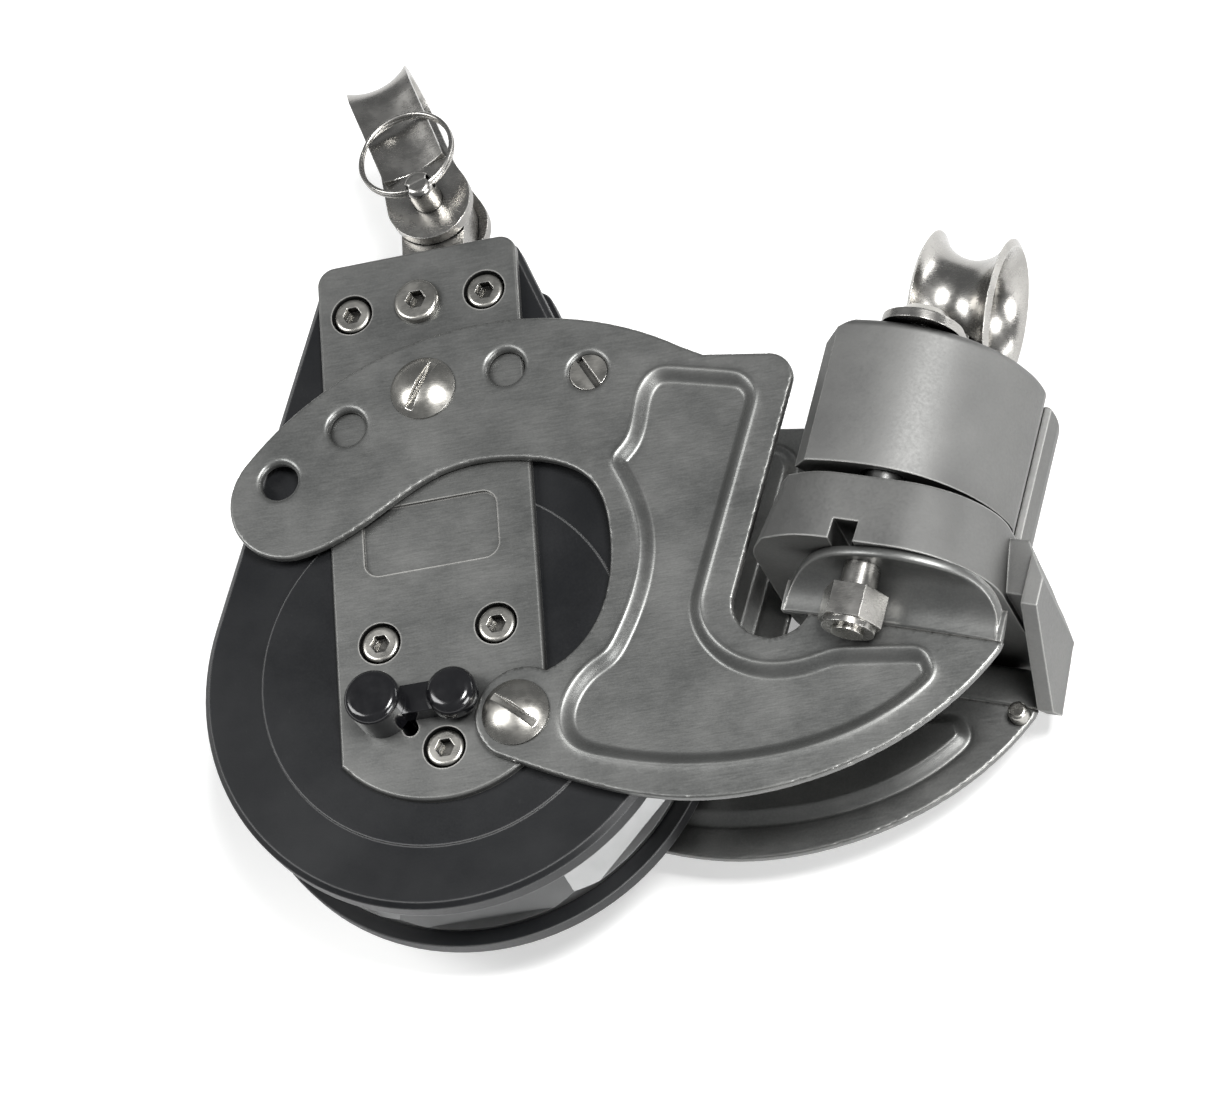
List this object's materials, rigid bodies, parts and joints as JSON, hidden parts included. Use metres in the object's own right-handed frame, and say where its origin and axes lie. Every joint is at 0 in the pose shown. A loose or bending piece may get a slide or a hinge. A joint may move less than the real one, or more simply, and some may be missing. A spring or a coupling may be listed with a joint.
{
  "type": "cam cleat block",
  "caption": "Swivel-head ratchet block with side arms that carry a sprung jaw cleat and a round rope fairlead, set at an adjustable angle.",
  "frame": {"origin": "centre of the sheave, on its axis midway between the cheeks", "axes": "+Z along the sheave axis to the switch side, +Y toward the shackle, +X toward the cleat"},
  "size_m": [0.1389, 0.1554, 0.053],
  "materials": {
    "cheek": "satin black moulding with a raised step line",
    "plate_steel": "satin stainless plate, tumbled",
    "machined_steel": "machined stainless",
    "screw_steel": "polished stainless fasteners",
    "bright_steel": "polished stainless",
    "spring_steel": "drawn spring wire",
    "hub": "dark acetal bearing parts",
    "sheave_metal": "machined and clear anodised",
    "switch_plastic": "glossy black moulding",
    "cast_grey": "fine cast grey, satin"
  },
  "bodies": {
    "block": {"near_cheek": "cheek", "far_cheek": "cheek", "near_strap": "plate_steel", "far_strap": "plate_steel", "head_block": "machined_steel", "head_screws": "screw_steel", "swivel_lock_screw": "screw_steel", "hub_core": "hub", "hub_screws": "screw_steel", "sheave_balls": "hub", "pawl_pin": "machined_steel", "pawl_spring": "spring_steel", "arm_pivot_screws": "screw_steel"},
    "sheave": {"sheave": "sheave_metal", "ratchet_ring": "machined_steel"},
    "pawl": {"ratchet_pawl": "machined_steel"},
    "switch": {"ratchet_switch": "switch_plastic"},
    "swivel": {"swivel_post": "bright_steel", "swivel_ring": "bright_steel"},
    "shackle": {"shackle": "bright_steel", "clevis_pin": "bright_steel", "cotter_ring": "bright_steel"},
    "arm": {"near_arm": "plate_steel", "far_arm": "plate_steel", "arm_lock_screws": "screw_steel", "arm_tie_bolt": "screw_steel", "tip_stud": "screw_steel", "cleat_base": "cast_grey", "cam_posts": "machined_steel", "cam_springs": "spring_steel", "cam_screws": "screw_steel", "cam_nuts": "bright_steel", "fairlead_bridge": "bright_steel", "fairlead_eye": "bright_steel"},
    "near_cam": {"near_cam": "cast_grey"},
    "far_cam": {"far_cam": "cast_grey"}
  },
  "joints": [
    {"name": "sheave_spin", "type": "hinge", "parent": "block", "child": "sheave", "pos_m": [0, 0, 0], "axis": [0, 0, 1], "continuous": true},
    {"name": "switch_turn", "type": "hinge", "parent": "block", "child": "switch", "pos_m": [0.0026, -0.0068, 0.014], "axis": [0, 0, 1], "range_deg": [0, 25]},
    {"name": "pawl_swing", "type": "hinge", "parent": "block", "child": "pawl", "pos_m": [-0.0108, -0.0092, 0.003], "axis": [0, 0, 1], "range_deg": [0, 8]},
    {"name": "swivel_turn", "type": "hinge", "parent": "block", "child": "swivel", "pos_m": [0, 0.07, 0], "axis": [0, 1, 0], "continuous": true},
    {"name": "shackle_swing", "type": "hinge", "parent": "swivel", "child": "shackle", "pos_m": [0.0007, 0.0864, 0], "axis": [0, 0, 1], "range_deg": [-110, 76]},
    {"name": "arm_angle", "type": "hinge", "parent": "block", "child": "arm", "pos_m": [0.0123, -0.0115, 0], "axis": [0, 0, 1], "range_deg": [-26.8, 0]},
    {"name": "near_cam_turn", "type": "hinge", "parent": "arm", "child": "near_cam", "pos_m": [0.07849, 0.02585, 0.02], "axis": [-0.3256, -0.9455, 0], "range_deg": [0, 25], "stiffness_Nm_per_rad": 0.06, "springref_deg": -11.46},
    {"name": "far_cam_turn", "type": "hinge", "parent": "arm", "child": "far_cam", "pos_m": [0.07849, 0.02585, -0.02], "axis": [0.3256, 0.9455, 0], "range_deg": [0, 25], "stiffness_Nm_per_rad": 0.06, "springref_deg": -11.46}
  ],
  "couplings": [
    {"joint": "pawl_swing", "follows": "switch_turn", "ratio": 0.32}
  ]
}
